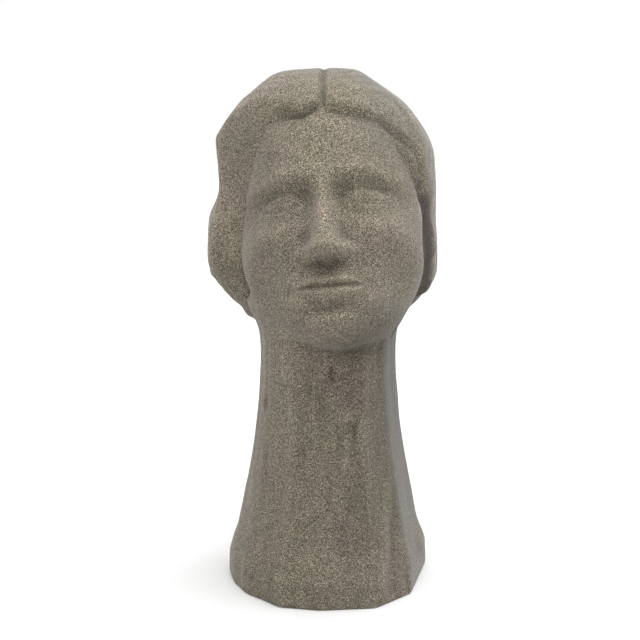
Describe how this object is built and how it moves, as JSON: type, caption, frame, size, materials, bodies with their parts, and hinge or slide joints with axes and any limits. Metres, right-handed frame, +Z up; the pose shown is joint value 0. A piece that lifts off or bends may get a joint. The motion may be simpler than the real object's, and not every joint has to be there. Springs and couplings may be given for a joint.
{
  "type": "ceramic head",
  "caption": "Decorative carved head with parted bobbed hair on a tall flared neck, cast as one sandy stoneware piece that stands on its flat foot.",
  "frame": {"origin": "on the flat underside of the foot, 4 mm in front of the upright axis that the neck is built round", "axes": "+Z up from the foot to the crown, -Y towards the front that the face looks to, +X to the right seen from the front"},
  "size_m": [0.1602, 0.1909, 0.3606],
  "materials": {
    "stoneware": "unglazed, coarse sandy grain, matt"
  },
  "bodies": {
    "root": {"ceramic_head": "stoneware"}
  },
  "joints": []
}
